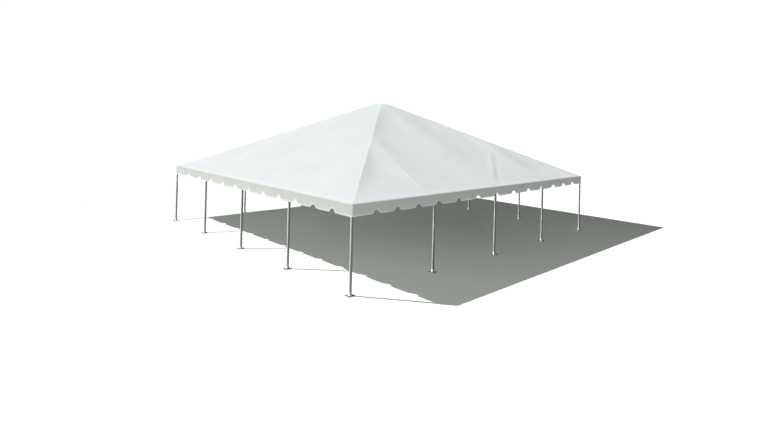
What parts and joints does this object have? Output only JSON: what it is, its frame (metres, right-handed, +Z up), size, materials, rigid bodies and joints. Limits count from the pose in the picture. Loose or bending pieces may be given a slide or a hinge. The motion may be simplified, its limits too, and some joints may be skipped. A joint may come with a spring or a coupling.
{
  "type": "frame marquee tent",
  "caption": "Square pole-free frame tent: pyramid roof skin on hip and jack rafters, scalloped valance, open sides, legs on base plates.",
  "frame": {"origin": "on the ground at the middle of the square plan", "axes": "+Z up, front side facing -Y, right side facing +X"},
  "size_m": [12.392, 12.392, 5.2074],
  "materials": {
    "tube": "satin mill finish",
    "fitting": "matt cast finish",
    "vinyl": "smooth coated satin"
  },
  "bodies": {
    "root": {"leg_front_left": "tube", "leg_front_1": "tube", "leg_front_2": "tube", "leg_front_3": "tube", "eave_rail_front": "tube", "corner_fitting_front_left": "fitting", "hip_rafter_front_left": "tube", "jack_rafter_front_1": "tube", "jack_rafter_front_2": "tube", "middle_rafter_front": "tube", "valance_front": "vinyl", "canopy_front": "vinyl", "leg_front_right": "tube", "leg_right_1": "tube", "leg_right_2": "tube", "leg_right_3": "tube", "eave_rail_right": "tube", "corner_fitting_front_right": "fitting", "hip_rafter_front_right": "tube", "jack_rafter_right_1": "tube", "jack_rafter_right_2": "tube", "middle_rafter_right": "tube", "valance_right": "vinyl", "canopy_right": "vinyl", "leg_back_right": "tube", "leg_back_1": "tube", "leg_back_2": "tube", "leg_back_3": "tube", "eave_rail_back": "tube", "corner_fitting_back_right": "fitting", "hip_rafter_back_right": "tube", "jack_rafter_back_1": "tube", "jack_rafter_back_2": "tube", "middle_rafter_back": "tube", "valance_back": "vinyl", "canopy_back": "vinyl", "leg_back_left": "tube", "leg_left_1": "tube", "leg_left_2": "tube", "leg_left_3": "tube", "eave_rail_left": "tube", "corner_fitting_back_left": "fitting", "hip_rafter_back_left": "tube", "jack_rafter_left_1": "tube", "jack_rafter_left_2": "tube", "middle_rafter_left": "tube", "valance_left": "vinyl", "canopy_left": "vinyl", "crown_fitting": "fitting"}
  },
  "joints": []
}
